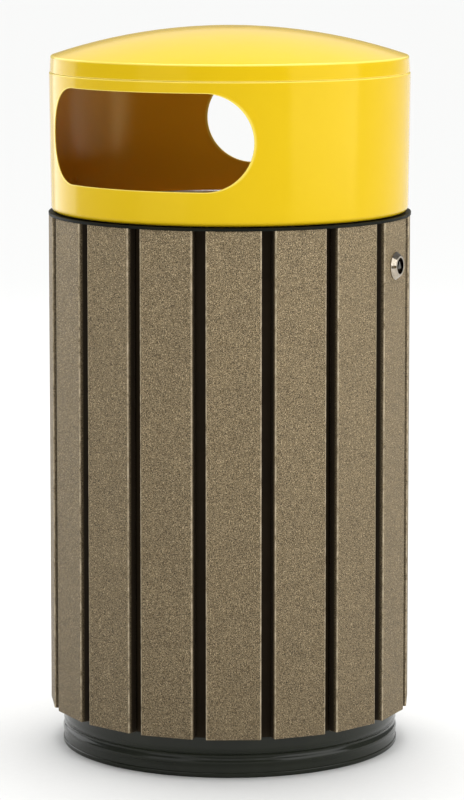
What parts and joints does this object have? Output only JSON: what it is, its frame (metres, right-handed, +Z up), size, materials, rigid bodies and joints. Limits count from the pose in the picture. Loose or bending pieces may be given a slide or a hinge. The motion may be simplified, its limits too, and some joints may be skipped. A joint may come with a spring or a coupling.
{
  "type": "litter bin",
  "caption": "Round slatted litter bin with a domed hinged hood, two opposite mouths, a key lock and a lift-out liner.",
  "frame": {"origin": "centre of the base's underside, on the ground", "axes": "+Z up, -Y towards the middle of the front mouth, the lock near +X, the hinge near -X"},
  "size_m": [0.4344, 0.4191, 0.8345],
  "materials": {
    "black_paint": "satin powder coat",
    "shell_paint": "matt powder coat",
    "slat_board": "recycled board, finely speckled",
    "yellow_paint": "gloss powder coat",
    "zinc_steel": "zinc plated",
    "rivet_steel": "bright",
    "lock_chrome": "polished",
    "galvanised": "hot-dip galvanised, spangled",
    "bumper_rubber": "matte"
  },
  "bodies": {
    "body": {"base_plate": "black_paint", "foot_ring": "black_paint", "base_skirt": "black_paint", "body_shell": "shell_paint", "top_ring": "black_paint", "slat_01": "slat_board", "slat_02": "slat_board", "slat_03": "slat_board", "slat_04": "slat_board", "slat_05": "slat_board", "slat_06": "slat_board", "slat_07": "slat_board", "slat_08": "slat_board", "slat_09": "slat_board", "slat_10": "slat_board", "slat_11": "slat_board", "slat_12": "slat_board", "slat_13": "slat_board", "slat_14": "slat_board", "slat_15": "slat_board", "slat_16": "slat_board", "slat_17": "slat_board", "slat_screws": "zinc_steel", "lock_body": "lock_chrome", "lock_nut": "zinc_steel", "hinge_bracket": "black_paint", "bracket_rivets": "rivet_steel", "hinge_pin": "rivet_steel"},
    "hood": {"hood_shell": "yellow_paint", "hood_cap": "yellow_paint", "cap_rivets": "rivet_steel", "hood_catch": "zinc_steel", "catch_rivets": "rivet_steel", "hood_bumpers": "bumper_rubber", "hinge_leaf": "yellow_paint", "hinge_rivets": "rivet_steel"},
    "lock_barrel": {"lock_rotor": "lock_chrome", "lock_cam": "zinc_steel", "cam_washer": "zinc_steel", "cam_screw": "zinc_steel"},
    "liner": {"liner_shell": "galvanised", "liner_floor": "galvanised", "handle_plate_front": "galvanised", "handle_plate_rear": "galvanised", "handle_rivets": "rivet_steel"},
    "front_handle": {"liner_handle_front": "galvanised"},
    "rear_handle": {"liner_handle_rear": "galvanised"}
  },
  "joints": [
    {"name": "hood_hinge", "type": "hinge", "parent": "body", "child": "hood", "pos_m": [-0.21296, -0.02955, 0.629], "axis": [0.1374, -0.9905, 0], "range_deg": [0, 100]},
    {"name": "lock_turn", "type": "hinge", "parent": "body", "child": "lock_barrel", "pos_m": [0.1981, 0.02749, 0.5666], "axis": [0.9905, 0.1374, 0], "range_deg": [0, 90]},
    {"name": "liner_lift", "type": "slide", "parent": "body", "child": "liner", "axis": [0, 0, 1], "range_m": [0, 0.12]},
    {"name": "front_handle_swing", "type": "hinge", "parent": "liner", "child": "front_handle", "pos_m": [0, -0.1585, 0.598], "axis": [1, 0, 0], "range_deg": [0, 170]},
    {"name": "rear_handle_swing", "type": "hinge", "parent": "liner", "child": "rear_handle", "pos_m": [0, 0.1585, 0.598], "axis": [-1, 0, 0], "range_deg": [0, 170]}
  ]
}
